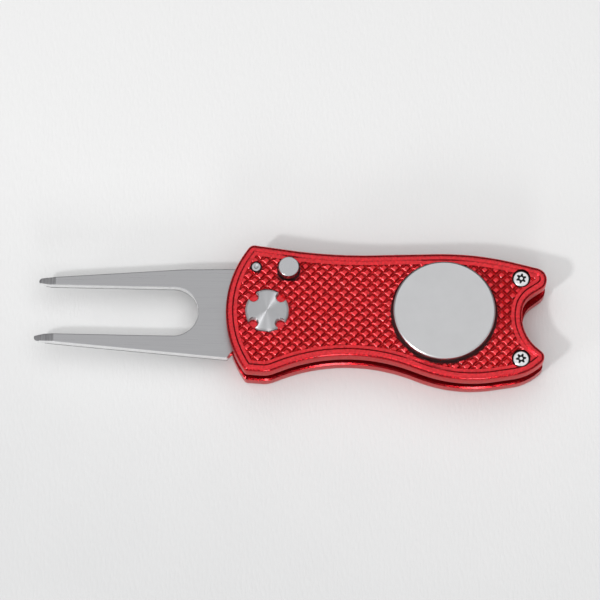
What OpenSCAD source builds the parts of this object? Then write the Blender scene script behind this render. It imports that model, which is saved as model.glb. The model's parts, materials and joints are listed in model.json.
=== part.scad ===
// Folding divot repair tool: a sprung two-tine fork between two handle scales, with a
// plunge button beside the pivot and a magnetic ball marker in the front scale.
// Millimetres. The tool lies on its back scale with the fork open towards -X and the
// forked tail towards +X. The origin is on the floor, under the middle of the open tool.

/* [Handle] */
// Thickness of each scale
scale_thick = 3.9; // [3.6:0.1:4.4]
// Gap between the scales, where the fork folds away
scale_gap = 3.4; // [3.3:0.1:3.8]
// Width of the raised border round the checkered field
border_w = 2.7; // [2:0.1:3.4]
// Depth of the field below the border
field_depth = 0.35; // [0.2:0.05:0.5]

/* [Fork] */
// Thickness of the fork
fork_thick = 2.5; // [2.2:0.1:2.6]
// Reach of the shorter tine from the pivot
short_tine = 54.1; // [46:0.1:54.5]
// Reach of the longer tine from the pivot
long_tine = 54.8; // [46:0.1:55.2]
// Width of the slot between the tines
slot_w = 12; // [10:0.1:12.4]
// Distance from the pivot to the centre of the slot's round end
slot_end = 22.3; // [21:0.1:26]
// Radius of the tang round the pivot
tang_r = 8.1; // [7.8:0.05:8.15]

/* [Pivot] */
// Diameter of the four-notch pivot head
head_d = 10.2; // [9:0.1:10.4]
// Diameter of the pivot barrel that the fork turns on
barrel_d = 5; // [4.4:0.1:5.2]
// Outer diameter of the two washers
washer_d = 15.2; // [14:0.1:15.8]
// Number of whole turns of the fork spring
fork_spring_turns = 2; // [1:1:2]

/* [Lock button] */
// Diameter of the button
button_d = 4.86; // [4.4:0.02:4.9]
// Height of the button above the front scale
button_proud = 2.6; // [2:0.1:3]
// Number of turns of the button spring
button_spring_turns = 6.5; // [4:0.5:7]

/* [Ball marker] */
// Diameter of the ball marker
marker_d = 24; // [20:0.1:24.4]
// Thickness of the ball marker
marker_thick = 3; // [2:0.1:3.2]
// Depth of the recess that it sits in
marker_recess = 1; // [0.6:0.1:1.2]
// Diameter of the magnet under the marker
magnet_d = 8; // [5:0.5:10]

/* [Hidden] */

$fn = 64;
eps = 0.01;          // overlap that keeps one cut from leaving a skin
fit = 0.05;          // radial clearance between pieces that are pressed or screwed together
play = 0.02;         // air between flat faces that slide or lift apart

// Plan positions, measured from the pivot
pivot = [-5.33, -0.1];
button_at = [4.9, 10.1];
stop_at = [-2.8, 10.7];
marker_at = [41.6, 0.35];
tail_at = [[59.7, 9.2], [59.7, -10.5]];

// Handle outline, clockwise from the front top corner: [x, y, fillet radius].
// tip_r rounds the upper tip of the forked tail and notch is its bottom, which is cut less
// deep in the back scale.
function handle(tip_r, notch) = [
    [-4.1, 16.35, 1.7], [14.8, 13.95, 119.9], [49.2, 15.35, 70.6], [69.8, 10.4, tip_r],
    notch, [59.4, -4.3, 10], [66.1, -9.9, 1.8], [61.5, -14.1, 12],
    [44.7, -17, 33.5], [18.8, -7.6, 42.1], [0.5, -15.1, 6], [-4.8, -14.8, 1.1],
    [-15.4, 0.7, 25.7]
];
FRONT = handle(2.8, [60.3, 4, 5.5]);
BACK = handle(3.2, [61, 3.6, 5]);
arc_chord = 3;       // longest flat along a fillet
arc_turn = 12;       // largest turn, in degrees, between two flats of a fillet

// Levels, from the floor up
front_z = scale_thick + scale_gap;
top_z = front_z + scale_thick;
fork_z = scale_thick + (scale_gap - fork_thick) / 2;
washer_thick = (scale_gap - fork_thick) / 2 - fit;

// Pivot group
pivot_bore_r = barrel_d / 2 + fit;
head_depth = 1.2;
head_proud = 0.35;
head_bevel = 0.45;
head_cone = 0.1;
notch_r = 1.15;
notch_at = 4.55;
screw_r = 1.45;
barrel_floor = 1.6;
pivot_head_r = 3.4;
pivot_head_depth = 1.4;
spring_pocket_r = 5.2;
spring_pocket_floor = 2.2;
fork_spring_r = 4.2;
fork_wire_r = 0.25;
washer_bore_r = 5.4;
leg_turn = 200;      // direction of the spring's fork leg, in degrees
anchor_turn = -40;   // direction of the spring's leg in the back scale, in degrees

// Fork outline: half widths are measured from the fork's own middle line
fork_y = 0.65;
neck_x = -20;
tip_half_w = 7.7;
root_half_w = 10.5;
shoulder = [-4.38, 11.6];
flank_out = [-9.25, -10.61];
flank_in = [-4.95, -5.49];
tang_top = [-2.47, 6.55];
neck_r = 40;
corner_r = 0.3;
tip_slant = 3;
bevel_length = 4.6;
bevel_depth = 0.7;

// Button group
button_r = button_d / 2;
button_bore_r = button_r + 0.07;
rim_r = 2.75;
rim_depth = 0.8;
collar_r = 2.9;
collar_height = 2.8;
button_top = top_z + button_proud;
collar_top = front_z - 0.1;
collar_z = collar_top - collar_height;
blind_floor = 0.5;
spring_seat = 3;
button_spring_r = 1.6;
button_wire_r = 0.175;

// Pin, marker and tail
pin_r = 1.1;
pin_floor = 0.9;
pin_rim_r = 1.4;
marker_z = top_z - marker_recess;
marker_gap = 0.55;
magnet_thick = 1.5;
tail_head_r = 1.95;
tail_head_h = 1.1;
tail_sink = 0.35;
tail_shank_r = 1.1;
tail_length = 3.8;
standoff_r = 2;
standoff_seat = 1;
drive_r = 1.1;
drive_depth = 0.7;
post_r = 0.4;

// Direction a, in degrees, at distance r
function polar(r, a) = [r * cos(a), r * sin(a)];
function unit(v) = v / norm(v);

// Arc that rounds the corner b between a and c of a clockwise outline
function fillet(a, b, c) =
    let (
        p = [b[0], b[1]],
        u = unit([a[0], a[1]] - p),
        w = unit([c[0], c[1]] - p),
        half = acos(u * w) / 2,
        side = cross(u, w) > 0 ? 1 : -1,
        centre = p + unit(u + w) * b[2] / sin(half),
        turn = 180 - 2 * half,
        from = atan2(-side * u[0], side * u[1]),
        steps = ceil(max(turn / arc_turn, b[2] * turn * PI / 180 / arc_chord))
    )
    [for (i = [0 : steps]) centre + polar(b[2], from - side * turn * i / steps)];

function rounded(corners) =
    let (n = len(corners))
    [for (i = [0 : n - 1]) each fillet(corners[(i + n - 1) % n], corners[i], corners[(i + 1) % n])];

// Distance from point p to the segment from a to b
function gap_to(p, a, b) =
    let (t = max(0, min(1, (p - a) * (b - a) / ((b - a) * (b - a)))))
    norm(p - a - t * (b - a));

// The clockwise outline moved inwards by d, without the points that would cross over
function inset(points, d) =
    let (n = len(points))
    [
        for (i = [0 : n - 1])
            let (
                along = unit(points[(i + 1) % n] - points[(i + n - 1) % n]),
                q = points[i] + d * [along[1], -along[0]],
                gaps = [for (k = [0 : n - 1]) gap_to(q, points[k], points[(k + 1) % n])]
            )
            if (min(gaps) > d - 0.05) q
    ];

module at_pivot() {
    translate([pivot[0], pivot[1], 0]) children();
}

// Cylinder from level z to level z + h at plan position p
module post(p, r, z, h) {
    translate([p[0], p[1], z]) cylinder(r = r, h = h);
}

// Stations of a round-wire helix about Z: [point, heading in plan, climb], in degrees
function helix(mean_r, z, pitch, turns, start = 0) =
    let (steps = round(turns * 18))
    [
        for (i = [0 : steps])
            let (spin = start + 360 * turns * i / steps)
            [[mean_r * cos(spin), mean_r * sin(spin), z + pitch * turns * i / steps], spin + 90, 0]
    ];

// Round wire through a list of stations
module wire(stations, wire_r) {
    sides = 6;
    last = len(stations) - 1;
    points = [
        for (s = stations, k = [0 : sides - 1])
            let (
                across = polar(wire_r * cos(360 * k / sides), s[1] - 90),
                up = wire_r * sin(360 * k / sides),
                back = polar(-up * sin(s[2]), s[1])
            )
            s[0] + [across[0] + back[0], across[1] + back[1], up * cos(s[2])]
    ];
    walls = [
        for (i = [0 : last - 1], k = [0 : sides - 1])
            let (a = i * sides + k, b = i * sides + (k + 1) % sides)
            [b, a, a + sides, b + sides]
    ];
    ends = [
        [for (k = [0 : sides - 1]) k],
        [for (k = [sides - 1 : -1 : 0]) last * sides + k]
    ];
    polyhedron(points, concat(walls, ends));
}

module scale_slab(outline, z) {
    translate([0, 0, z]) linear_extrude(scale_thick) polygon(rounded(outline));
}

// Sunk field that the checkering fills, on the face at level z
module field_cut(outline, z) {
    translate([0, 0, z]) linear_extrude(field_depth + eps) polygon(inset(rounded(outline), border_w));
}

// Head, shank and standoff seats for one tail screw pair; face is the outer level and
// up is 1 for the front scale and -1 for the back scale
module tail_cuts(face, up) {
    inner = face - up * scale_thick;
    for (p = tail_at) {
        seat_low = min(inner - up * eps, inner + up * standoff_seat);
        head_low = min(face + up * eps, face - up * (tail_head_h + tail_sink));
        post(p, standoff_r + fit, seat_low, standoff_seat + eps);
        post(p, tail_head_r + 0.25, head_low, tail_head_h + tail_sink + eps);
        post(p, tail_shank_r + fit, min(face, inner), scale_thick);
    }
}

module front_scale() {
    color("crimson") at_pivot() difference() {
        scale_slab(FRONT, front_z);
        field_cut(FRONT, top_z - field_depth);
        post([0, 0], pivot_bore_r, front_z - eps, scale_thick);
        post([0, 0], head_d / 2 + 0.2, top_z - head_depth, head_depth + eps);
        post(button_at, button_bore_r, front_z - eps, scale_thick);
        post(button_at, rim_r, top_z - rim_depth, rim_depth + eps);
        post(stop_at, pin_r + fit, front_z - eps, scale_thick);
        post(stop_at, pin_rim_r, top_z - rim_depth, rim_depth + eps);
        post(marker_at, marker_d / 2 + marker_gap, marker_z, marker_recess + eps);
        post(marker_at, magnet_d / 2 + fit, marker_z - magnet_thick, magnet_thick + eps);
        tail_cuts(top_z, 1);
    }
}

module back_scale() {
    color("crimson") at_pivot() difference() {
        scale_slab(BACK, 0);
        field_cut(BACK, -eps);
        post([0, 0], pivot_bore_r, -eps, scale_thick);
        post([0, 0], pivot_head_r + 0.2, -eps, pivot_head_depth + eps);
        post([0, 0], spring_pocket_r, spring_pocket_floor, scale_thick);
        rotate(anchor_turn) translate([fork_spring_r, -0.4, spring_pocket_floor])
            cube([washer_d / 2 - fork_spring_r - 0.6, 0.8, scale_thick]);
        post(button_at, collar_r + 0.1, blind_floor, scale_thick);
        post(stop_at, pin_r + fit, pin_floor, scale_thick);
        tail_cuts(0, -1);
    }
}

// One tine's tip: the outer corner, the point and the start of the slant inside the slot
function tine_tip(side, reach) = [
    [-reach, fork_y + side * tip_half_w, 0.8],
    [-reach - 0.1, fork_y + side * (slot_w / 2 + 0.55), 0.4],
    [-reach + tip_slant, fork_y + side * (slot_w / 2 - 0.1), 0.2]
];

module fork_outline() {
    lower = tine_tip(-1, long_tine);
    corners = concat(
        [
            [neck_x, fork_y + root_half_w, neck_r],
            for (p = [shoulder, tang_top, flank_in, flank_out]) [p[0], p[1], corner_r]
        ],
        lower,
        [for (i = [2 : -1 : 0]) tine_tip(1, short_tine)[i]]
    );
    polygon(rounded(corners));
}

// Wedges that thin both faces of the tines towards their tips
module tip_bevels() {
    angle = atan(bevel_depth / bevel_length);
    for (face = [0, 1]) translate([bevel_length - long_tine, 0, fork_z + fork_thick * face])
        mirror([0, 0, 1 - face]) rotate([0, -180 - angle, 0]) mirror([0, 0, 1])
            translate([0, -15, 0]) cube([10, 30, 4]);
}

module fork() {
    color("silver") at_pivot() difference() {
        union() {
            translate([0, 0, fork_z]) linear_extrude(fork_thick) fork_outline();
            post([0, 0], tang_r, fork_z, fork_thick);
        }
        post([0, 0], pivot_bore_r, fork_z - 1, fork_thick + 2);
        post([-slot_end, fork_y], slot_w / 2, fork_z - 1, fork_thick + 2);
        translate([-slot_end - 40, fork_y - slot_w / 2, fork_z - 1])
            cube([40, slot_w, fork_thick + 2]);
        post(polar(fork_spring_r, leg_turn), fork_wire_r + 0.15, fork_z - eps, 1.6);
        tip_bevels();
    }
}

// Head with a bevelled rim and four round notches, on a shank tapped from below
module pivot_barrel() {
    head_r = head_d / 2;
    head_z = top_z - head_depth + play;
    head_top = top_z + head_proud;
    color("silver") at_pivot() difference() {
        union() {
            rotate_extrude() polygon([
                [0, head_z], [head_r, head_z], [head_r, head_top - head_bevel],
                [head_r - head_bevel, head_top - head_cone], [0, head_top]
            ]);
            post([0, 0], barrel_d / 2, barrel_floor, head_z - barrel_floor + eps);
        }
        post([0, 0], screw_r + fit, barrel_floor - eps, 6.2);
        for (turn = [45 : 90 : 315]) rotate(turn) {
            post([notch_at, 0], notch_r, head_z - 1, 4);
            translate([notch_at, -notch_r, head_z - 1]) cube([4, 2 * notch_r, 4]);
        }
    }
}

module pivot_screw() {
    color("silver") at_pivot() difference() {
        union() {
            post([0, 0], pivot_head_r, 0.3, pivot_head_depth - 0.3 - play);
            post([0, 0], screw_r, pivot_head_depth - 0.1, 5.5);
        }
        translate([0, 0, 0.3 - eps]) cylinder(r = 1.3, h = 0.8, $fn = 6);
    }
}

module washer(z) {
    color("goldenrod") at_pivot() difference() {
        post([0, 0], washer_d / 2, z, washer_thick);
        post([0, 0], washer_bore_r, z - 1, washer_thick + 2);
    }
}

module front_washer() { washer(front_z - washer_thick); }
module back_washer() { washer(scale_thick); }

// Torsion spring round the barrel, one leg up into the fork and one out into the back scale
module fork_spring() {
    pitch = 2 * fork_wire_r + 0.06;
    turns = fork_spring_turns + (leg_turn - anchor_turn) / 360;
    low = spring_pocket_floor + fork_wire_r + fit;
    high = low + pitch * turns;
    out = [for (r = [fork_spring_r + 2, fork_spring_r + fork_wire_r + fit])
        [[r * cos(anchor_turn), r * sin(anchor_turn), low], anchor_turn + 180, 0]];
    bend = [[fork_spring_r * cos(anchor_turn), fork_spring_r * sin(anchor_turn), low], anchor_turn + 135, 0];
    turned = helix(fork_spring_r, low, pitch, turns, anchor_turn);
    tip = polar(fork_spring_r, leg_turn);
    up = [for (z = [high + fork_wire_r + fit, fork_z + 1.4]) [[tip[0], tip[1], z], leg_turn + 90, 90]];
    corner = [[tip[0], tip[1], high], leg_turn + 90, 45];
    color("dimgray") at_pivot()
        wire(concat(out, [bend], [for (i = [1 : len(turned) - 2]) turned[i]], [corner], up), fork_wire_r);
}

module stop_pin() {
    color("silver") at_pivot() post(stop_at, pin_r, pin_floor + play, top_z - pin_floor - play);
}

module lock_button() {
    color("silver") at_pivot() difference() {
        translate([button_at[0], button_at[1], 0]) rotate_extrude() polygon([
            [0, collar_z], [collar_r, collar_z], [collar_r, collar_top], [button_r, collar_top],
            [button_r, button_top - 0.3], [button_r - 0.3, button_top], [0, button_top]
        ]);
        post(button_at, button_spring_r + 0.4, collar_z - eps, spring_seat);
    }
}

module button_spring() {
    low = blind_floor + button_wire_r + play;
    high = collar_z + spring_seat - button_wire_r - 2 * play;
    color("dimgray") at_pivot() translate([button_at[0], button_at[1], 0])
        wire(helix(button_spring_r, low, (high - low) / button_spring_turns, button_spring_turns), button_wire_r);
}

module marker_magnet() {
    color("lightgray") at_pivot()
        post(marker_at, magnet_d / 2, marker_z - magnet_thick + play, magnet_thick - 3 * play);
}

module ball_marker() {
    r = marker_d / 2;
    low = marker_z + play;
    top = marker_z + marker_thick;
    color("gainsboro") at_pivot() translate([marker_at[0], marker_at[1], 0]) rotate_extrude()
        polygon([[0, low], [r - 0.3, low], [r, low + 0.3], [r, top - 0.35], [r - 0.35, top], [0, top]]);
}

module standoff(p) {
    low = scale_thick - standoff_seat + play;
    height = scale_gap + 2 * standoff_seat - 2 * play;
    color("silver") at_pivot() difference() {
        post(p, standoff_r, low, height);
        post(p, tail_shank_r + fit, low - 1, height + 2);
    }
}

module upper_standoff() { standoff(tail_at[0]); }
module lower_standoff() { standoff(tail_at[1]); }

// Pan-head screw with a round drive recess round a centre post, head up
module tail_screw() {
    difference() {
        union() {
            cylinder(r = tail_head_r, h = tail_head_h);
            translate([0, 0, -tail_length]) cylinder(r = tail_shank_r, h = tail_length + eps);
        }
        translate([0, 0, tail_head_h - drive_depth]) difference() {
            cylinder(r = drive_r, h = drive_depth + eps);
            cylinder(r = post_r, h = drive_depth + eps);
        }
    }
}

module front_tail_screws() {
    color("silver") at_pivot() for (p = tail_at)
        translate([p[0], p[1], top_z - tail_sink - tail_head_h + play]) tail_screw();
}

module back_tail_screws() {
    color("silver") at_pivot() for (p = tail_at)
        translate([p[0], p[1], tail_sink + tail_head_h - play]) mirror([0, 0, 1]) tail_screw();
}

front_scale();
back_scale();
fork();
pivot_barrel();
pivot_screw();
front_washer();
back_washer();
fork_spring();
stop_pin();
lock_button();
button_spring();
marker_magnet();
ball_marker();
upper_standoff();
lower_standoff();
front_tail_screws();
back_tail_screws();
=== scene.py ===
"""Looks of the folding divot repair tool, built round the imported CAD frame.
"""

import json
import math

import bmesh
import bpy
import numpy as np
from mathutils import Matrix, Vector


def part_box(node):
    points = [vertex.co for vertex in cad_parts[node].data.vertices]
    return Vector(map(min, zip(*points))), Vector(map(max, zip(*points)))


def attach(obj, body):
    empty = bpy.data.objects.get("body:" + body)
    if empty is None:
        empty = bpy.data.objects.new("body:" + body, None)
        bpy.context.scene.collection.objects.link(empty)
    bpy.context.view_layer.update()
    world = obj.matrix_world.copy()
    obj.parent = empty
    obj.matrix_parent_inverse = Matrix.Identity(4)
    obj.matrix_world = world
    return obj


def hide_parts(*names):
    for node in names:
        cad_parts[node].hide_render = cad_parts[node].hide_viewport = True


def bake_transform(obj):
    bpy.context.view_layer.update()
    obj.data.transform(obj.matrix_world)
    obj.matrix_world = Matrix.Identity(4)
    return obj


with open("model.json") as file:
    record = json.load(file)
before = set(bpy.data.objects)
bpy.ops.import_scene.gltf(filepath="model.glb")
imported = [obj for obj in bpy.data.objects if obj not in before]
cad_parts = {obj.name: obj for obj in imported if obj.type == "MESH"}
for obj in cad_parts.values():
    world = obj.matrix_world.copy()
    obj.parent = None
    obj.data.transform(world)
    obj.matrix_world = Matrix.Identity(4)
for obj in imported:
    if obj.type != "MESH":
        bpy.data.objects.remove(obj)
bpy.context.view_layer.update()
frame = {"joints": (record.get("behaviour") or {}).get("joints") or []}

# ---------------------------------------------------------------- frame and levels

MM = 0.001
JOINTS = {joint["name"]: joint for joint in frame["joints"]}
PIVOT = Vector(JOINTS["fork_swing"]["pos_m"]) / MM


def low_of(name):
    """Lowest level of a CAD node."""
    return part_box(name)[0].z / MM


def top_of(name):
    """Highest level of a CAD node."""
    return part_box(name)[1].z / MM


def plan_of(name):
    """Middle of a CAD node in plan, from the pivot."""
    low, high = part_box(name)
    middle = (low + high) / 2 / MM - PIVOT
    return Vector((middle.x, middle.y))


def radius_of(name):
    """Half the width of a round CAD node."""
    low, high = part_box(name)
    return (high.x - low.x) / 2 / MM


FRONT_Z = low_of("front_scale")
TOP_Z = top_of("front_scale")
THICK = TOP_Z - FRONT_Z
ORIGIN = Vector((0, 0))
BUTTON_AT = plan_of("lock_button")
STOP_AT = plan_of("stop_pin")
MARKER_AT = plan_of("ball_marker")
TAIL_AT = [plan_of("upper_standoff"), plan_of("lower_standoff")]

# ---------------------------------------------------------------- driving dimensions

ARC_TURN = math.radians(7.5)   # largest turn between two flats of an arc
CHORD = 0.45                   # longest flat along an outline
ROUND = 96                     # sides of a turned piece


def handle(tip_r, notch):
    """Corners (x, y, fillet radius) of a scale; only the tail differs between the two."""
    return [
        (-4.1, 16.35, 1.7), (14.8, 13.95, 119.9), (49.2, 15.35, 70.6), (69.8, 10.4, tip_r), notch,
        (59.4, -4.3, 10), (66.1, -9.9, 1.8), (61.5, -14.1, 12), (44.7, -17, 33.5),
        (18.8, -7.6, 42.1), (0.5, -15.1, 6), (-4.8, -14.8, 1.1), (-15.4, 0.7, 25.7),
    ]


FRONT_CORNERS = handle(2.8, (60.3, 4, 5.5))
BACK_CORNERS = handle(3.2, (61, 3.6, 5))

# Scale edge, measured inwards from the handle outline
ROLL = (1.2, 0.8)    # rolled outer edge: how far in and how far down it reaches
INNER_CHAMFER = 0.35
BAND_IN = 1.5        # inner edge of the raised band
LEDGE_IN = 1.85      # foot of the step down to the ledge
FIELD_IN = 2.6       # start of the checkering
LEDGE_DROP = 0.33
CREST_DROP = 0.1     # checkering crests below the band

# Checkering: two families of V grooves
GROOVE_TILT = 46.5   # direction of their normals from X, in degrees
GROOVE_PITCH = 1.82
GROOVE_HALF = 0.46   # half width of a groove at the crests
GROOVE_DEPTH = 0.46
GROOVE_PHASE = {1: 0.5, -1: 0.68}
GROOVE_REACH = 90    # half length of a groove's tool, longer than the handle
GROOVE_PROUD = 0.3   # how far a groove's tool stands above the crests

# Fork outline
FORK_Y = 0.65        # the fork's own middle line
UPPER_BEND = (-20, 10.5, 40)   # (x, y from the middle line, fillet radius) in its upper edge
SLOT_HALF = 6
SLOT_END = -22.3     # centre of the slot's round end
TIP_HALF = 7.7
TIP_SLANT = 2.5
LONG_TINE = 54.8
SHORT_TINE = 54.1
TANG_R = 8.1
SHOULDER = (-4.38, 11.6)
TANG_TOP = (-2.47, 6.55)
FLANK_IN = (-4.95, -5.49)
FLANK_OUT = (-9.25, -10.61)
TIP_BEVEL = 4.6
TIP_THIN = 0.7
FORK_EDGE = 0.2      # broken edge of the blanked fork
BREAK_BAND = 0.65    # height of the lower band on the fork's sides, which blanking leaves dull; its darker colour is painted shade

# Bores and seats in the scales and the fork: a radius, or a radius and a depth
# unless the line says otherwise
BARREL_BORE = 2.55
HEAD_SEAT = (5.3, 1.2)
SCREW_SEAT = (3.6, 1.4)
SPRING_POCKET = (5.2, 1.7)
BUTTON_BORE = 2.5
BUTTON_RIM = (2.75, 0.8)
BUTTON_WELL = (3.0, 3.4)
PIN_BORE = 1.15
PIN_RIM = (1.4, 0.8)
PIN_WELL = 3.0       # depth of the stop pin's bore in the back scale
MARKER_SEAT = (12.55, 1.0)
MAGNET_SEAT = (4.05, 2.5)
TAIL_SEAT = (2.2, 1.45)
TAIL_BORE = 1.15
STANDOFF_SEAT = (2.05, 1.0)
ANCHOR_TURN = -40    # direction of the fork spring's slot from X, in degrees
ANCHOR_SLOT = (3.8, 6.8, 0.4)   # inner end, outer end and half width
LEG_HOLE = (0.4, 1.6)           # in the fork, for the spring's other leg

# Turned pieces
HEAD_R = 5.1
HEAD_H = 1.53
SHANK_R = 2.5
NOTCH_R = 1.15
NOTCH_AT = 4.55
NOTCH_TURNS = (45, 135, 225, 315)
TAP = (1.5, 6.2)         # threaded hole up the barrel: radius and depth
CLOSING_HEAD_H = 1.08
CLOSING_SHANK_R = 1.45
HEX_SOCKET = (1.3, 0.8)  # in the closing screw: radius over corners, and depth
WASHER_BORE = 5.4
COLLAR_H = 2.8
BUTTON_HOLLOW = 2.0
SPRING_SEAT = 3.0
TAIL_HEAD_R = 1.95
TAIL_HEAD_H = 1.1
TAIL_SHANK_R = 1.1
TAIL_SHANK_LONG = 3.8
DRIVE_STAR = (1.0, 0.26)   # mean radius of the six-lobe recess, and how far its lobes swing
DRIVE_DEPTH = 0.7
DRIVE_POST = 0.36
LOBE_TURNS = (20, 8)   # how far each front tail screw is turned, in degrees

# Springs
FORK_COIL_R = 4.2
FORK_WIRE = 0.25
FORK_COIL_TURNS = 2 + 240 / 360
FORK_COIL_PITCH = 0.56
FORK_COIL_Z = 2.5
FORK_LEG_TOP = 5.75
BUTTON_COIL_R = 1.6
BUTTON_WIRE = 0.175
BUTTON_COIL_TURNS = 6.5
CLOSED_TURN = 0.42     # rise of the first and the last turn of the button spring
ANCHOR_LEG = (6.2, 5.6, 5.0, 4.6)   # radii along the leg that lies in the back scale

# ---------------------------------------------------------------- outlines


def polar(r, degrees):
    angle = math.radians(degrees)
    return Vector((r * math.cos(angle), r * math.sin(angle)))


def circle(at, r, sides=ROUND):
    """Outline of a circle, anticlockwise."""
    return [at + polar(r, 360 * k / sides) for k in range(sides)]


def fillet(before, corner, after):
    """Points of the arc that rounds a corner (x, y, radius) between its neighbours."""
    point, r = Vector(corner[:2]), corner[2]
    if r == 0:
        return [point]
    arms = [(Vector(end[:2]) - point).normalized() for end in (before, after)]
    half = arms[0].angle(arms[1]) / 2
    centre = point + (arms[0] + arms[1]).normalized() * (r / math.sin(half))
    first, last = (point + arm * (r / math.tan(half)) - centre for arm in arms)
    sweep = math.atan2(first.cross(last), first.dot(last))
    steps = math.ceil(max(2, abs(sweep) / ARC_TURN, r * abs(sweep) / CHORD))
    return [centre + Matrix.Rotation(sweep * k / steps, 2) @ first for k in range(steps + 1)]


def area(points):
    """Signed area of an outline, positive when it runs anticlockwise."""
    pairs = zip(points, points[1:] + points[:1])
    return sum(a.cross(b) for a, b in pairs) / 2


def rounded(corners):
    """Anticlockwise outline through filleted corners, with no flat longer than CHORD."""
    count = len(corners)
    arcs = []
    for k in range(count):
        arcs += fillet(corners[k - 1], corners[k], corners[(k + 1) % count])
    points = []
    for a, b in zip(arcs, arcs[1:] + arcs[:1]):
        parts = max(1, math.ceil((b - a).length / CHORD))
        points += [a.lerp(b, k / parts) for k in range(parts)]
    return points if area(points) > 0 else points[::-1]


def meeting(p, along_p, q, along_q):
    """Where the line through p meets the line through q, or their middle if it is far off."""
    cross = along_p[0] * along_q[1] - along_p[1] * along_q[0]
    middle = (p + q) / 2
    if abs(cross) < 0.02:
        return middle
    gap = q - p
    found = p + along_p * ((gap[0] * along_q[1] - gap[1] * along_q[0]) / cross)
    return found if np.linalg.norm(found - middle) < 1.5 else middle


def inset(points, distance):
    """The outline moved inwards (outwards if negative), with as many points as before.
    A run of points that would cross over meets in one corner instead."""
    start = np.array([tuple(p) for p in points])
    along = np.roll(start, -1, 0) - np.roll(start, 1, 0)
    along /= np.linalg.norm(along, axis=1)[:, None]
    moved = start + distance * np.stack([-along[:, 1], along[:, 0]], 1)
    edge = np.roll(start, -1, 0) - start
    share = np.einsum("ijk,jk->ij", moved[:, None] - start[None], edge) / (edge ** 2).sum(1)
    near = start[None] + np.clip(share, 0, 1)[..., None] * edge[None]
    kept = np.linalg.norm(moved[:, None] - near, axis=2).min(1) > abs(distance) - 0.02
    count = len(points)
    for k in range(count):
        if kept[k] or not kept[k - 1]:
            continue
        end = k
        while not kept[end % count]:
            end += 1
        last, after = k - 1, end % count
        corner = meeting(moved[last], along[last], moved[after], along[after])
        for j in range(k, end):
            moved[j % count] = corner
    return [Vector(p) for p in moved]


# ---------------------------------------------------------------- meshes


def solid(verts, faces):
    """New object from points and faces, with doubled points merged and faces turned outwards."""
    mesh = bpy.data.meshes.new("piece")
    mesh.from_pydata([tuple(v) for v in verts], [], faces)
    obj = bpy.data.objects.new("piece", mesh)
    bpy.context.scene.collection.objects.link(obj)
    clean(obj)
    return obj


def clean(obj):
    made = bmesh.new()
    made.from_mesh(obj.data)
    bmesh.ops.remove_doubles(made, verts=made.verts, dist=1e-4)
    bmesh.ops.dissolve_degenerate(made, edges=made.edges, dist=1e-5)
    bmesh.ops.recalc_face_normals(made, faces=made.faces)
    made.to_mesh(obj.data)
    made.free()


def loft(rings):
    """Closed solid through rings of equally many points (x, y, z), lowest ring first."""
    count = len(rings[0])
    verts = [v for ring in rings for v in ring]
    faces = [
        (k * count + i, k * count + j, (k + 1) * count + j, (k + 1) * count + i)
        for k in range(len(rings) - 1)
        for i, j in ((i, (i + 1) % count) for i in range(count))
    ]
    faces.append(tuple(reversed(range(count))))
    faces.append(tuple(range(len(verts) - count, len(verts))))
    return solid(verts, faces)


def profiled(outline, profile):
    """Solid whose edge follows a profile of (inset, height), from its lowest face up."""
    return loft([[(p.x, p.y, z) for p in inset(outline, d)] for d, z in profile])


def prism(outline, low, high):
    return loft([[(p.x, p.y, z) for p in outline] for z in (low, high)])


def post(at, r, low, high):
    return prism(circle(at, r), low, high)


def turned(at, profile, bored=False, sides=ROUND):
    """Solid turned about a vertical axis: profile holds (radius, height), axis to axis,
    or runs all the way round the section of a bored piece."""
    count = len(profile)
    verts = []
    for k in range(sides):
        for r, z in profile:
            spoke = at + polar(r, 360 * k / sides)
            verts.append((spoke.x, spoke.y, z))
    faces = []
    for k in range(sides):
        here, there = k * count, (k + 1) % sides * count
        for i in range(count if bored else count - 1):
            j = (i + 1) % count
            faces.append((here + i, here + j, there + j, there + i))
    return solid(verts, faces)


def tube(path, r, sides=14):
    """Round wire along a path, with eased ends."""
    path = [Vector(p) for p in path]
    headings = [(b - a).normalized() for a, b in zip(path, path[1:])]
    bends = [(a + b).normalized() for a, b in zip(headings, headings[1:])]
    headings = [headings[0], *bends, headings[-1]]
    across = headings[0].orthogonal().normalized()
    rings = []
    for point, heading in zip(path, headings):
        across = (across - heading * across.dot(heading)).normalized()
        up = heading.cross(across)
        turns = [math.tau * k / sides for k in range(sides)]
        rings.append([across * math.cos(t) + up * math.sin(t) for t in turns])
    easing = [(0, 0.6), (0.3 * r, 1)]   # distance from the wire's end, share of its radius
    start = [
        [path[0] + headings[0] * push + v * r * share for v in rings[0]]
        for push, share in easing
    ]
    end = [
        [path[-1] - headings[-1] * push + v * r * share for v in rings[-1]]
        for push, share in reversed(easing)
    ]
    inner = [[point + v * r for v in ring] for point, ring in zip(path[1:-1], rings[1:-1])]
    return loft(start + inner + end)


def apply_modifiers(obj):
    """Bakes an object's modifiers into its mesh, which is left without material slots."""
    graph = bpy.context.evaluated_depsgraph_get()
    baked = bpy.data.meshes.new_from_object(obj.evaluated_get(graph))
    baked.materials.clear()
    obj.modifiers.clear()
    obj.data = baked


def combine(body, tools, operation="DIFFERENCE"):
    """Cuts, joins or crosses a body with each tool in turn, and drops the tools."""
    for tool in tools:
        step = body.modifiers.new("boolean", "BOOLEAN")
        step.operation = operation
        step.solver = "MANIFOLD"
        step.object = tool
    apply_modifiers(body)
    for tool in tools:
        bpy.data.objects.remove(tool)
    return body


def lift(obj, height, flip=False):
    """Moves a mesh up to a height, turned upside down first if flip is set."""
    turn = Matrix.Scale(-1, 4, (0, 0, 1)) if flip else Matrix.Identity(4)
    obj.data.transform(Matrix.Translation((0, 0, height)) @ turn)
    return obj


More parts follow.
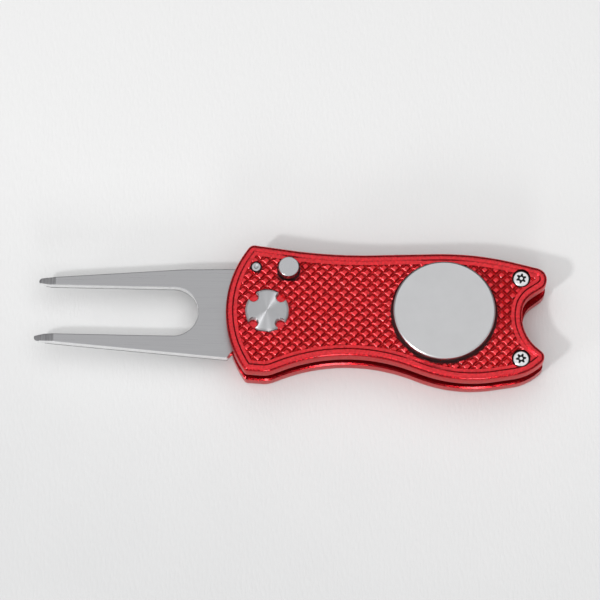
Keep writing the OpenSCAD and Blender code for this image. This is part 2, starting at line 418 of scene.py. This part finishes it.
def finish(obj, name, materials, body, nodes, at=ORIGIN, sharp=30):
    """Puts a finished piece in the frame: named, smoothed, coloured and riding on its body."""
    clean(obj)
    middle = Vector((at.x, at.y, 0))
    obj.data.transform(Matrix.Scale(MM, 4) @ Matrix.Translation(-middle))
    obj.location = (middle + Vector((PIVOT.x, PIVOT.y, 0))) * MM
    obj.name = obj.data.name = name
    obj.data.polygons.foreach_set("use_smooth", [True] * len(obj.data.polygons))
    obj.data.set_sharp_from_angle(angle=math.radians(sharp))
    for material in materials:
        obj.data.materials.append(material)
    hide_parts(*nodes)
    if isinstance(body, str):
        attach(obj, body)
    return obj


# ---------------------------------------------------------------- materials


def node(tree, kind, links=None, **settings):
    """Adds a shader node; links maps its inputs to values or to other nodes' outputs."""
    made = tree.nodes.new(kind)
    for key, value in settings.items():
        setattr(made, key, value)
    for key, value in (links or {}).items():
        if isinstance(value, bpy.types.NodeSocket):
            tree.links.new(value, made.inputs[key])
        else:
            made.inputs[key].default_value = value
    return made


def principled(name, colour, roughness, metallic=1.0, **more):
    """New material, its node tree and its shader; more sets the shader's other sockets."""
    made = bpy.data.materials.new(name)
    made.use_nodes = True
    shader = made.node_tree.nodes["Principled BSDF"]
    shader.inputs["Base Color"].default_value = (*colour, 1)
    shader.inputs["Roughness"].default_value = roughness
    shader.inputs["Metallic"].default_value = metallic
    for key, value in more.items():
        shader.inputs[key.replace("_", " ").title()].default_value = value
    return made, made.node_tree, shader


def spread(tree, source, low, high):
    """Maps a 0 to 1 output to a range."""
    links = {"Value": source, "To Min": low, "To Max": high}
    return node(tree, "ShaderNodeMapRange", links).outputs["Result"]


def noise(tree, stretch, scale=1.0, detail=3.0):
    """Noise in the piece's own space; stretch is cycles per metre along X, Y and Z."""
    place = node(tree, "ShaderNodeTexCoord").outputs["Object"]
    placed = node(tree, "ShaderNodeMapping", {"Vector": place, "Scale": stretch}).outputs["Vector"]
    links = {"Vector": placed, "Scale": scale, "Detail": detail}
    return node(tree, "ShaderNodeTexNoise", links).outputs["Fac"]


def tint(tree, source, dark, light):
    """Colour ramp between two linear colours."""
    ramp = node(tree, "ShaderNodeValToRGB", {"Fac": source})
    ramp.color_ramp.elements[0].position = 0.3
    ramp.color_ramp.elements[1].position = 0.7
    ramp.color_ramp.elements[0].color = (*dark, 1)
    ramp.color_ramp.elements[1].color = (*light, 1)
    return ramp.outputs["Color"]


def bump(tree, shader, height, distance, strength=1.0):
    links = {"Height": height, "Distance": distance, "Strength": strength}
    tree.links.new(node(tree, "ShaderNodeBump", links).outputs["Normal"], shader.inputs["Normal"])


FLAKE_SCALE = 5200.0          # flakes per metre
FLAKE_TILT = 0.16             # how far a flake may lean
WAVE_CYCLE = math.tau / 20    # one cycle of the wave texture at scale 1


def lacquer(name, dark, light, coat):
    """Candy red lacquer: metallic flakes under a clear coat."""
    made, tree, shader = principled(
        name, light, 0.24, metallic=0.92,
        specular_tint=(1, 0.12, 0.15, 1), coat_weight=coat, coat_roughness=0.12,
    )
    cloud = noise(tree, (1, 1, 1), 1800, 4)
    tree.links.new(tint(tree, cloud, dark, light), shader.inputs["Base Color"])
    place = node(tree, "ShaderNodeTexCoord").outputs["Object"]
    flakes = node(tree, "ShaderNodeTexVoronoi", {"Vector": place, "Scale": FLAKE_SCALE})
    links = {0: flakes.outputs["Color"], 1: (0.5, 0.5, 0.5)}
    half = node(tree, "ShaderNodeVectorMath", links, operation="SUBTRACT")
    tilt = node(tree, "ShaderNodeVectorMath", {0: half.outputs[0], 3: FLAKE_TILT}, operation="SCALE")
    normal = node(tree, "ShaderNodeNewGeometry").outputs["Normal"]
    tilted = node(tree, "ShaderNodeVectorMath", {0: normal, 1: tilt.outputs[0]}, operation="ADD")
    facing = node(tree, "ShaderNodeVectorMath", {0: tilted.outputs[0]}, operation="NORMALIZE")
    tree.links.new(facing.outputs[0], shader.inputs["Normal"])
    return made


def brushed(name, dark, light, rough, stretch, depth, **more):
    """Steel with fine lines along the axis that stretch leaves coarse."""
    made, tree, shader = principled(name, light, rough[0], **more)
    grain = noise(tree, stretch, 1.0, 4)
    tree.links.new(tint(tree, grain, dark, light), shader.inputs["Base Color"])
    tree.links.new(spread(tree, grain, *rough), shader.inputs["Roughness"])
    bump(tree, shader, grain, depth)
    return made


def lathed(name, colour, rough, pitch, depth, blotch=0.0, **more):
    """Turned steel with concentric tool marks round the piece's own axis."""
    made, tree, shader = principled(name, colour, rough[0], **more)
    place = node(tree, "ShaderNodeTexCoord").outputs["Object"]
    links = {
        "Vector": place, "Scale": WAVE_CYCLE / (pitch * MM), "Distortion": 0.6, "Detail": 2.0,
    }
    wave = node(tree, "ShaderNodeTexWave", links, wave_type="RINGS", rings_direction="Z")
    smudge = noise(tree, (1, 1, 1), 260, 3)
    tree.links.new(spread(tree, smudge, *rough), shader.inputs["Roughness"])
    dull = tuple(c * (1 - blotch) for c in colour)
    tree.links.new(tint(tree, smudge, dull, colour), shader.inputs["Base Color"])
    tree.links.new(
        node(tree, "ShaderNodeTangent", direction_type="RADIAL", axis="Z").outputs["Tangent"],
        shader.inputs["Tangent"],
    )
    bump(tree, shader, wave.outputs["Fac"], depth)
    return made


def plated(name, dark, light, rough, scale, depth, **more):
    """Plated or drawn metal with faint mottling."""
    made, tree, shader = principled(name, light, rough[0], **more)
    mottle = noise(tree, (1, 1, 1), scale, 4)
    tree.links.new(tint(tree, mottle, dark, light), shader.inputs["Base Color"])
    tree.links.new(spread(tree, mottle, *rough), shader.inputs["Roughness"])
    bump(tree, shader, mottle, depth)
    return made


RED = lacquer("red_lacquer", (0.38, 0.007, 0.012), (0.64, 0.014, 0.024), 0.5)
# The groove facets take a darker copy of the red lacquer: painted shade in the grooves.
GROOVE_SHADE_RED = lacquer("painted_shade_groove_lacquer", (0.3, 0.005, 0.009), (0.52, 0.01, 0.018), 0.6)
FORK_STEEL = brushed(
    "brushed_fork_steel", (0.29, 0.29, 0.298), (0.312, 0.312, 0.32), (0.24, 0.34),
    (60, 5200, 5200), 0.000001,
)
# Much lighter copy of the fork steel for the side walls: smoother, as a polished edge is, with a
# painted highlight in its colour.
EDGE_HIGHLIGHT_STEEL = brushed(
    "polished_edge_steel_painted_highlight", (0.86, 0.86, 0.865), (0.95, 0.95, 0.955), (0.12, 0.2),
    (900, 900, 60), 0.0000005,
)
TURNED_STEEL = lathed(
    "turned_steel", (0.47, 0.473, 0.485), (0.4, 0.5), 0.16, 0.0000015,
    anisotropic=0.95, anisotropic_rotation=0.25,
)
PIN_STEEL = lathed("pin_steel", (0.365, 0.368, 0.38), (0.2, 0.34), 0.12, 0.000002)
MARKER_STEEL = lathed(
    "marker_steel", (0.45, 0.452, 0.46), (0.27, 0.36), 0.35, 0.0000006, blotch=0.05,
)
# Darker copy of the fork steel for the sloped tine tips and the lower band on the sides: painted
# shade, with a rougher cross grain.
TIP_AND_BAND_SHADE_STEEL = brushed(
    "ground_tip_and_band_steel_painted_shade", (0.14, 0.14, 0.145), (0.24, 0.24, 0.245), (0.3, 0.45),
    (2200, 160, 2200), 0.000003,
)
SCREW_STEEL = plated(
    "nickel_screw_steel", (0.52, 0.52, 0.53), (0.62, 0.62, 0.63), (0.14, 0.26), 2600, 0.000003,
)
# Near-black steel in the tail screws' drive recesses: painted shade in the hollows.
RECESS_SHADE_STEEL = plated(
    "painted_shade_recess", (0.02, 0.02, 0.022), (0.05, 0.05, 0.055), (0.45, 0.6), 2600, 0.000003,
)
# Near-black red on the walls and floors of the seats round the marker, button, stop pin and tail
# screws: painted shade in the gaps.
SEAT_SHADE_RED = plated(
    "painted_shade_seat_red", (0.03, 0.002, 0.003), (0.07, 0.004, 0.006), (0.4, 0.55), 2600, 0.000003,
    metallic=0.5,
)
SPRING_STEEL = plated(
    "spring_wire", (0.3, 0.3, 0.32), (0.5, 0.5, 0.52), (0.25, 0.4), 3000, 0.000004,
)
BRONZE = plated(
    "phosphor_bronze", (0.6, 0.38, 0.16), (0.78, 0.53, 0.26), (0.22, 0.4), 1500, 0.000003,
)
MAGNET = plated(
    "nickel_magnet", (0.62, 0.62, 0.63), (0.76, 0.76, 0.77), (0.12, 0.24), 900, 0.000003,
)

# ---------------------------------------------------------------- the two scales

CREST_Z = THICK - CREST_DROP


def edge_profile():
    """Section of a scale's edge as (inset, height), from its inner face to the field."""
    roll = [math.radians(15 * k) for k in range(7)]
    ledge = THICK - LEDGE_DROP
    return [
        (INNER_CHAMFER, 0), (0, INNER_CHAMFER),
        *[(ROLL[0] * (1 - math.cos(a)), THICK - ROLL[1] * (1 - math.sin(a))) for a in roll],
        (BAND_IN - 0.08, THICK), (BAND_IN + 0.02, THICK - 0.05),
        (LEDGE_IN - 0.08, ledge + 0.05), (LEDGE_IN + 0.04, ledge),
        (FIELD_IN, ledge), (FIELD_IN + 0.02, CREST_Z - 0.05), (FIELD_IN + 0.08, CREST_Z),
    ]


def grooves(outline, side):
    """One family of parallel V grooves across an outline; side is 1 or -1."""
    across = polar(1, side * GROOVE_TILT)
    along = Vector((-across.y, across.x)) * GROOVE_REACH
    reach = [across.dot(p) for p in outline]
    phase = GROOVE_PHASE[side]
    first = math.ceil((min(reach) - phase) / GROOVE_PITCH)
    last = math.floor((max(reach) - phase) / GROOVE_PITCH)
    section = [
        (GROOVE_HALF + GROOVE_PROUD, GROOVE_PROUD), (GROOVE_HALF + 0.02, 0),
        (GROOVE_HALF - 0.08, -0.05), (0.04, -GROOVE_DEPTH), (-0.04, -GROOVE_DEPTH),
        (0.08 - GROOVE_HALF, -0.05), (-0.02 - GROOVE_HALF, 0),
        (-GROOVE_HALF - GROOVE_PROUD, GROOVE_PROUD),
    ]
    count = len(section)
    verts, faces = [], []
    for k in range(first, last + 1):
        base = len(verts)
        for end in (-1, 1):
            for offset, height in section:
                p = across * (phase + k * GROOVE_PITCH + offset) + along * end
                verts.append((p.x, p.y, CREST_Z + height))
        ring = [(i, (i + 1) % count) for i in range(count)]
        faces += [(base + i, base + j, base + count + j, base + count + i) for i, j in ring]
        faces.append(tuple(base + i for i in range(count)))
        faces.append(tuple(base + count + i for i in reversed(range(count))))
    return solid(verts, faces)


def bare_scale(corners):
    """A scale with its field checkered, inner face at height 0 and outer face up."""
    outline = rounded(corners)
    body = profiled(outline, edge_profile())
    field = inset(outline, FIELD_IN - 0.06)
    cuts = [
        combine(grooves(outline, side), [prism(field, CREST_Z - 2, CREST_Z + 2)], "INTERSECT")
        for side in (1, -1)
    ]
    return combine(body, cuts)


def through(at, r):
    return post(at, r, -1, THICK + 1)


def from_face(at, size):
    """Counterbore of (radius, depth) from the outer face."""
    return post(at, size[0], THICK - size[1], THICK + 1)


def from_inside(at, size):
    """Counterbore of (radius, depth) from the inner face."""
    return post(at, size[0], -1, size[1])


def tail_cuts():
    cuts = []
    for at in TAIL_AT:
        cuts += [through(at, TAIL_BORE), from_face(at, TAIL_SEAT), from_inside(at, STANDOFF_SEAT)]
    return cuts


def paint(body, seats=()):
    """Gives groove facets material 1, painted shade in the grooves, and whatever lies in a seat
    (middle, radius) material 2, painted shade in the seats.
    """
    bottom = CREST_Z - GROOVE_DEPTH
    points = body.data.vertices
    for face in body.data.polygons:
        if any(abs(points[k].co.z - bottom) < 0.01 for k in face.vertices):
            face.material_index = 1
        below_crests = 0.05 < face.center.z < CREST_Z - 0.05
        if below_crests and any((face.center.xy - at).length < r + 0.02 for at, r in seats):
            face.material_index = 2


def front_scale():
    cuts = [
        through(ORIGIN, BARREL_BORE), from_face(ORIGIN, HEAD_SEAT),
        through(BUTTON_AT, BUTTON_BORE), from_face(BUTTON_AT, BUTTON_RIM),
        through(STOP_AT, PIN_BORE), from_face(STOP_AT, PIN_RIM),
        from_face(MARKER_AT, MARKER_SEAT), from_face(MARKER_AT, MAGNET_SEAT),
    ]
    body = combine(bare_scale(FRONT_CORNERS), cuts + tail_cuts())
    seats = [(MARKER_AT, MARKER_SEAT[0]), (BUTTON_AT, BUTTON_RIM[0]), (STOP_AT, PIN_RIM[0])]
    paint(body, seats + [(at, TAIL_SEAT[0]) for at in TAIL_AT])
    lift(body, FRONT_Z)
    finish(
        body, "red_front_scale", [RED, GROOVE_SHADE_RED, SEAT_SHADE_RED], "handle", ["front_scale"],
    )


def back_scale():
    low, high, half = ANCHOR_SLOT
    turn = Matrix.Rotation(math.radians(ANCHOR_TURN), 2)
    corners = [turn @ Vector(p) for p in ((low, -half), (high, -half), (high, half), (low, half))]
    cuts = [
        through(ORIGIN, BARREL_BORE), from_face(ORIGIN, SCREW_SEAT),
        from_inside(ORIGIN, SPRING_POCKET), prism(corners, -1, SPRING_POCKET[1]),
        from_inside(BUTTON_AT, BUTTON_WELL), from_inside(STOP_AT, (PIN_BORE, PIN_WELL)),
    ]
    body = combine(bare_scale(BACK_CORNERS), cuts + tail_cuts())
    paint(body)
    lift(body, THICK, flip=True)
    finish(body, "red_back_scale", [RED, GROOVE_SHADE_RED], "handle", ["back_scale"])


# ---------------------------------------------------------------- fork


def tang_point(inner, outer):
    """Where the line from inner to outer leaves the round tang."""
    a, step = Vector(inner), Vector(outer) - Vector(inner)
    middle = -a.dot(step) / step.dot(step)
    half = math.sqrt(TANG_R ** 2 - (a + step * middle).length ** 2) / step.length
    return a + step * (middle + half)


def tine(side, reach):
    """Corners of one tine's end, from its outer corner to the start of the slot."""
    return [
        (-reach, FORK_Y + side * TIP_HALF, 0.8),
        (-reach - 0.1, FORK_Y + side * (SLOT_HALF + 0.55), 0.4),
        (-reach + TIP_SLANT, FORK_Y + side * SLOT_HALF, 1.5),
        (SLOT_END + SLOT_HALF, FORK_Y + side * SLOT_HALF, SLOT_HALF - 0.001),
    ]


def fork_outline():
    upper = tang_point(TANG_TOP, SHOULDER)
    lower = tang_point(FLANK_IN, FLANK_OUT)
    start = math.degrees(math.atan2(upper.y, upper.x))
    sweep = math.degrees(math.atan2(lower.y, lower.x)) - start
    steps = 44
    x, y, r = UPPER_BEND
    tang = [(*polar(TANG_R, start + sweep * k / steps), 0) for k in range(steps + 1)]
    return rounded([
        (x, FORK_Y + y, r), (*SHOULDER, 0.3), *tang, (*FLANK_OUT, 0.2),
        *tine(-1, LONG_TINE), *reversed(tine(1, SHORT_TINE)),
    ])


def thin_tips(body, low, high):
    """Slopes both faces of the tines towards their tips."""
    crease = TIP_BEVEL - LONG_TINE
    made = bmesh.new()
    made.from_mesh(body.data)
    parts = made.verts[:] + made.edges[:] + made.faces[:]
    bmesh.ops.bisect_plane(made, geom=parts, dist=1e-5, plane_co=(crease, 0, 0), plane_no=(1, 0, 0))
    middle = (low + high) / 2
    for vert in made.verts:
        past = max(0.0, crease - vert.co.x) / TIP_BEVEL
        share = (vert.co.z - middle) / (high - middle)
        vert.co.z -= share * TIP_THIN * past
    made.to_mesh(body.data)
    made.free()


def fork():
    low, high = low_of("fork"), top_of("fork")
    band_top = low + BREAK_BAND
    profile = [
        (FORK_EDGE, low), (0.05, low + 0.05), (0, low + FORK_EDGE), (0, band_top),
        (0, high - FORK_EDGE), (0.05, high - 0.05), (FORK_EDGE, high),
    ]
    body = profiled(fork_outline(), profile)
    leg = polar(FORK_COIL_R, ANCHOR_TURN + 360 * FORK_COIL_TURNS)
    leg_hole = post(leg, LEG_HOLE[0], low - 1, low + LEG_HOLE[1])
    combine(body, [post(ORIGIN, BARREL_BORE, 0, TOP_Z), leg_hole])
    thin_tips(body, low, high)
    # Side walls above the band take the light edge steel, a painted highlight; the lower band and the
    # sloped tips take the dark steel, painted shade.
    for face in body.data.polygons:
        if abs(face.normal.z) < 0.5:
            face.material_index = 1 if face.center.z > band_top else 2
        elif face.center.x < TIP_BEVEL - LONG_TINE:
            face.material_index = 2
    steels = [FORK_STEEL, EDGE_HIGHLIGHT_STEEL, TIP_AND_BAND_SHADE_STEEL]
    finish(body, "two_tine_fork", steels, "fork", ["fork"], sharp=12)


# ---------------------------------------------------------------- pivot


def notch(turn, top):
    """Tool for one round notch in the pivot head, with a flared mouth and a bevelled rim."""
    arc = [Vector((NOTCH_AT, 0)) + polar(NOTCH_R, a) for a in range(90, 271, 6)]
    mouth = [Vector((NOTCH_AT + 0.25, -NOTCH_R)), Vector((HEAD_R + 0.5, -NOTCH_R - 0.4))]
    outline = arc + mouth + [Vector((p.x, -p.y)) for p in reversed(mouth)]
    spin = Matrix.Rotation(math.radians(turn), 2)
    outline = [spin @ p for p in outline]
    return profiled(outline, [(0, top - HEAD_H - 1), (0, top - 0.34), (-0.24, top), (-0.24, top + 1)])


def pivot_barrel():
    low, top = low_of("pivot_barrel"), top_of("pivot_barrel")
    seat = top - HEAD_H
    body = turned(ORIGIN, [
        (0, low), (SHANK_R - 0.2, low), (SHANK_R, low + 0.2), (SHANK_R, seat),
        (HEAD_R - 0.1, seat), (HEAD_R, seat + 0.1), (HEAD_R, top - 0.52),
        (HEAD_R - 0.08, top - 0.38), (HEAD_R - 0.42, top - 0.14), (HEAD_R - 0.55, top - 0.11),
        (1.2, top - 0.02), (0, top),
    ])
    tap = post(ORIGIN, TAP[0], low - 1, low + TAP[1])
    combine(body, [tap] + [notch(turn, top) for turn in NOTCH_TURNS])
    finish(
        body, "pivot_head_barrel", [TURNED_STEEL], "handle", ["pivot_barrel"],
        sharp=20,
    )


def pivot_screw():
    low, top = low_of("pivot_screw"), top_of("pivot_screw")
    head_r, head_h, shank = radius_of("pivot_screw"), CLOSING_HEAD_H, CLOSING_SHANK_R
    body = turned(ORIGIN, [
        (0, low), (head_r - 0.45, low), (head_r - 0.15, low + 0.08), (head_r, low + 0.3),
        (head_r, low + head_h - 0.08), (head_r - 0.08, low + head_h), (shank, low + head_h),
        (shank, top - 0.25), (shank - 0.25, top), (0, top),
    ])
    socket = prism(circle(ORIGIN, HEX_SOCKET[0], 6), low - 1, low + HEX_SOCKET[1])
    lead_in = loft([
        [(p.x, p.y, z) for p in circle(ORIGIN, r, 48)]
        for r, z in ((1.5, low - 0.05), (1.2, low + 0.2))
    ])
    combine(body, [socket, lead_in])
    finish(body, "pivot_closing_screw", [SCREW_STEEL], "handle", ["pivot_screw"])


def washer(name, cad):
    low, top, r, bore, soft = low_of(cad), top_of(cad), radius_of(cad), WASHER_BORE, 0.08
    body = turned(ORIGIN, [
        (bore, low + soft), (bore + soft, low), (r - soft, low), (r, low + soft),
        (r, top - soft), (r - soft, top), (bore + soft, top), (bore, top - soft),
    ], bored=True)
    finish(body, name, [BRONZE], "handle", [cad])


def fork_spring():
    """Coil round the barrel, one leg out into the back scale and one up into the fork."""
    turn = 360 * FORK_COIL_TURNS
    steps = round(turn / 8)
    high = FORK_COIL_Z + FORK_COIL_PITCH * FORK_COIL_TURNS
    path = [(*polar(r, ANCHOR_TURN), FORK_COIL_Z) for r in ANCHOR_LEG]
    for k in range(1, steps):
        share = k / steps
        flat = polar(FORK_COIL_R, ANCHOR_TURN + turn * share)
        path.append((flat.x, flat.y, FORK_COIL_Z + (high - FORK_COIL_Z) * share))
    leg = polar(FORK_COIL_R, ANCHOR_TURN + turn)
    path += [(leg.x, leg.y, z) for z in (high + 0.2, high + 0.5, high + 0.9, FORK_LEG_TOP)]
    body = tube(path, FORK_WIRE)
    finish(body, "fork_torsion_spring", [SPRING_STEEL], None, ["fork_spring"])
    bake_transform(body)


# ---------------------------------------------------------------- pin and button


def stop_pin():
    low, top, r = low_of("stop_pin"), top_of("stop_pin"), radius_of("stop_pin")
    body = turned(STOP_AT, [
        (0, low), (r - 0.15, low), (r, low + 0.15), (r, top - 0.22), (r - 0.1, top - 0.06),
        (r - 0.3, top), (0.5, top), (0.34, top - 0.1), (0, top - 0.13),
    ], sides=64)
    finish(body, "stop_pin_round", [PIN_STEEL], "handle", ["stop_pin"], STOP_AT)


def lock_button():
    low, top, collar_r = low_of("lock_button"), top_of("lock_button"), radius_of("lock_button")
    r, ledge = collar_r - 0.47, low + COLLAR_H
    body = turned(BUTTON_AT, [
        (0, low + SPRING_SEAT), (BUTTON_HOLLOW, low + SPRING_SEAT), (BUTTON_HOLLOW, low + 0.1),
        (BUTTON_HOLLOW + 0.1, low), (collar_r - 0.1, low), (collar_r, low + 0.1),
        (collar_r, ledge - 0.12), (collar_r - 0.12, ledge), (r, ledge), (r, top - 0.2),
        (r - 0.05, top - 0.07), (r - 0.16, top - 0.01), (r - 0.2, top), (0, top),
    ])
    finish(
        body, "lock_plunge_button", [PIN_STEEL], "button", ["lock_button"],
        BUTTON_AT, sharp=12,
    )


def button_spring():
    """Compression spring with its first and last turns closed up."""
    low = low_of("button_spring") + BUTTON_WIRE
    high = top_of("button_spring") - BUTTON_WIRE
    steps = round(BUTTON_COIL_TURNS * 30)
    open_pitch = (high - low - 2 * CLOSED_TURN) / (BUTTON_COIL_TURNS - 2)
    path = []
    for k in range(steps + 1):
        turn = BUTTON_COIL_TURNS * k / steps
        closed = min(turn, 1) + max(turn - BUTTON_COIL_TURNS + 1, 0)
        height = low + closed * CLOSED_TURN + (turn - closed) * open_pitch
        flat = BUTTON_AT + polar(BUTTON_COIL_R, 360 * turn)
        path.append((flat.x, flat.y, height))
    body = tube(path, BUTTON_WIRE)
    finish(body, "button_coil_spring", [SPRING_STEEL], None, ["button_spring"])
    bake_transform(body)


# ---------------------------------------------------------------- marker


def ball_marker():
    low, top, r = low_of("ball_marker"), top_of("ball_marker"), radius_of("ball_marker")
    body = turned(MARKER_AT, [
        (0, low), (r - 0.4, low), (r - 0.12, low + 0.12), (r, low + 0.4),
        (r, top - 0.42), (r - 0.1, top - 0.14), (r - 0.4, top), (0, top),
    ], sides=192)
    finish(
        body, "ball_marker_disc", [MARKER_STEEL], "marker", ["ball_marker"],
        MARKER_AT, sharp=12,
    )


def marker_magnet():
    low, top, r = low_of("marker_magnet"), top_of("marker_magnet"), radius_of("marker_magnet")
    body = turned(MARKER_AT, [
        (0, low), (r - 0.2, low), (r, low + 0.2), (r, top - 0.2), (r - 0.2, top), (0, top),
    ])
    finish(body, "marker_magnet_disc", [MAGNET], "handle", ["marker_magnet"], MARKER_AT)


# ---------------------------------------------------------------- tail


def tail_screw(at, lobe_turn):
    """Pan-head screw, its seat at height 0, with a six-lobe recess round a centre post."""
    r, h, shank, tip = TAIL_HEAD_R, TAIL_HEAD_H, TAIL_SHANK_R, -TAIL_SHANK_LONG
    body = turned(at, [
        (0, tip), (shank - 0.25, tip), (shank, tip + 0.25), (shank, 0), (r - 0.1, 0), (r, 0.1),
        (r, h - 0.36), (r - 0.08, h - 0.16), (r - 0.3, h - 0.02), (r - 0.45, h), (0, h),
    ], sides=72)
    mean, swing = DRIVE_STAR
    star = [
        at + polar(mean + swing * math.cos(math.radians(6 * (a - lobe_turn))), a)
        for a in range(0, 360, 4)
    ]
    recess = prism(star, h - DRIVE_DEPTH, h + 1)
    combine(recess, [post(at, DRIVE_POST, 0, h + 2)])
    return combine(body, [recess])


def screw_pair(name, cad, flip):
    """Both tail screws of one side, heads up or, with flip, heads down."""
    seat = low_of(cad) + TAIL_HEAD_H if flip else top_of(cad) - TAIL_HEAD_H
    pair = [tail_screw(at, turn) for at, turn in zip(TAIL_AT, LOBE_TURNS)]
    body = combine(pair[0], pair[1:], "UNION")
    # Faces down in the drive recesses take the near-black steel, painted shade.
    for face in body.data.polygons:
        reach = min((face.center.xy - at).length for at in TAIL_AT)
        deep = 0 < face.center.z < TAIL_HEAD_H - 0.01
        face.material_index = int(deep and reach < sum(DRIVE_STAR) + 0.04)
    lift(body, seat, flip)
    finish(body, name, [SCREW_STEEL, RECESS_SHADE_STEEL], "handle", [cad])


def standoff(name, cad):
    at, r, soft = plan_of(cad), radius_of(cad), 0.15
    low, top = low_of(cad), top_of(cad)
    body = turned(at, [
        (TAIL_BORE, low + soft), (TAIL_BORE + soft, low), (r - soft, low), (r, low + soft),
        (r, top - soft), (r - soft, top), (TAIL_BORE + soft, top), (TAIL_BORE, top - soft),
    ], bored=True, sides=64)
    finish(body, name, [PIN_STEEL], "handle", [cad], at)


front_scale()
back_scale()
fork()
pivot_barrel()
pivot_screw()
washer("front_bronze_washer", "front_washer")
washer("back_bronze_washer", "back_washer")
fork_spring()
stop_pin()
lock_button()
button_spring()
ball_marker()
marker_magnet()
screw_pair("front_tail_screw_pair", "front_tail_screws", flip=False)
screw_pair("back_tail_screw_pair", "back_tail_screws", flip=True)
standoff("upper_tail_standoff", "upper_standoff")
standoff("lower_tail_standoff", "lower_standoff")

# ---------------------------------------------------------------- floor, light and camera


# Floor colours near and far: painted shade near the camera, painted light further back
NEAR_CARD_SHADE = (0.63, 0.632, 0.635, 1)
FAR_CARD_LIGHT = (0.775, 0.775, 0.775, 1)
CARD_LIGHT_FADE = (-0.075, 0.04)   # metres back from the origin where the fade of painted light starts and ends
PANEL_EDGE = (0.4, 0.85)     # upward part of a heading where the overhead panel starts and is full


def floor():
    """Pale card painted darker near the camera and lighter away from it: painted light."""
    mesh = bpy.data.meshes.new("floor")
    mesh.from_pydata([(-2, -2, 0), (2, -2, 0), (2, 2, 0), (-2, 2, 0)], [], [(0, 1, 2, 3)])
    obj = bpy.data.objects.new("floor", mesh)
    bpy.context.scene.collection.objects.link(obj)
    made, tree, shader = principled("pale_card_painted_light_fade", (0.8, 0.8, 0.8), 0.75, metallic=0.0)
    place = node(tree, "ShaderNodeTexCoord").outputs["Object"]
    depth = node(tree, "ShaderNodeVectorMath", {0: place, 1: (0.25, 1, 0)}, operation="DOT_PRODUCT")
    links = {"Value": depth.outputs["Value"], "From Min": CARD_LIGHT_FADE[0], "From Max": CARD_LIGHT_FADE[1]}
    far = node(tree, "ShaderNodeMapRange", links).outputs["Result"]
    cloud = noise(tree, (1, 1, 1), 45, 5)
    share = node(tree, "ShaderNodeMath", {0: cloud, 1: 0.2, 2: far}, operation="MULTIPLY_ADD")
    colour = node(tree, "ShaderNodeMix", {"Factor": share.outputs[0]}, data_type="RGBA")
    colour.inputs["A"].default_value = NEAR_CARD_SHADE
    colour.inputs["B"].default_value = FAR_CARD_LIGHT
    tree.links.new(colour.outputs["Result"], shader.inputs["Base Color"])
    bump(tree, shader, noise(tree, (1500, 500, 900), 1.0, 3), 0.00008)
    mesh.materials.append(made)


def area_light(name, place, size, watts):
    """White disc light aimed at the origin."""
    data = bpy.data.lights.new(name, "AREA")
    data.shape = "DISK"
    data.size = size
    data.energy = watts
    obj = bpy.data.objects.new(name, data)
    obj.location = place
    obj.rotation_mode = "QUATERNION"
    obj.rotation_quaternion = (-place).to_track_quat("-Z", "Y")
    bpy.context.scene.collection.objects.link(obj)


def direction(azimuth, elevation):
    """Unit vector towards a compass direction: azimuth 0 is -Y and 90 is +X, in degrees."""
    a, e = math.radians(azimuth), math.radians(elevation)
    return Vector((math.sin(a) * math.cos(e), -math.cos(a) * math.cos(e), math.sin(e)))


def sky(horizon, overhead):
    """Studio surround that brightens from the horizon up to a wide overhead panel."""
    world = bpy.data.worlds.new("studio")
    world.use_nodes = True
    tree = world.node_tree
    heading = node(tree, "ShaderNodeTexCoord").outputs["Generated"]
    height = node(tree, "ShaderNodeSeparateXYZ", {"Vector": heading}).outputs["Z"]
    links = {
        "Value": height, "From Min": PANEL_EDGE[0], "From Max": PANEL_EDGE[1],
        "To Min": horizon, "To Max": overhead,
    }
    glow = node(tree, "ShaderNodeMapRange", links, interpolation_type="SMOOTHSTEP").outputs["Result"]
    tree.links.new(glow, tree.nodes["Background"].inputs["Strength"])
    tree.nodes["Background"].inputs["Color"].default_value = (1, 1, 1, 1)
    bpy.context.scene.world = world


def camera(target, azimuth, elevation, distance, lens):
    data = bpy.data.cameras.new("camera")
    data.lens = lens
    data.sensor_width = 36
    data.clip_start = 0.01
    data.clip_end = 20
    obj = bpy.data.objects.new("camera", data)
    back = direction(azimuth, elevation)
    obj.location = Vector(target) + back * distance
    obj.rotation_mode = "QUATERNION"
    obj.rotation_quaternion = (-back).to_track_quat("-Z", "Y")
    bpy.context.scene.collection.objects.link(obj)
    bpy.context.scene.camera = obj


floor()
area_light("key", direction(-45, 50) * 1.2, size=0.1, watts=3.9)
area_light("side_panel", direction(-58, 14) * 1.3, size=0.4, watts=4)
area_light("front_panel", direction(8, 22) * 1.3, size=0.35, watts=3)
sky(horizon=0.05, overhead=1.3)
camera(target=(0.00237, 0.00256, 0.0112), azimuth=1.2, elevation=72, distance=0.85, lens=217)
bpy.context.scene.view_settings.view_transform = "Standard"
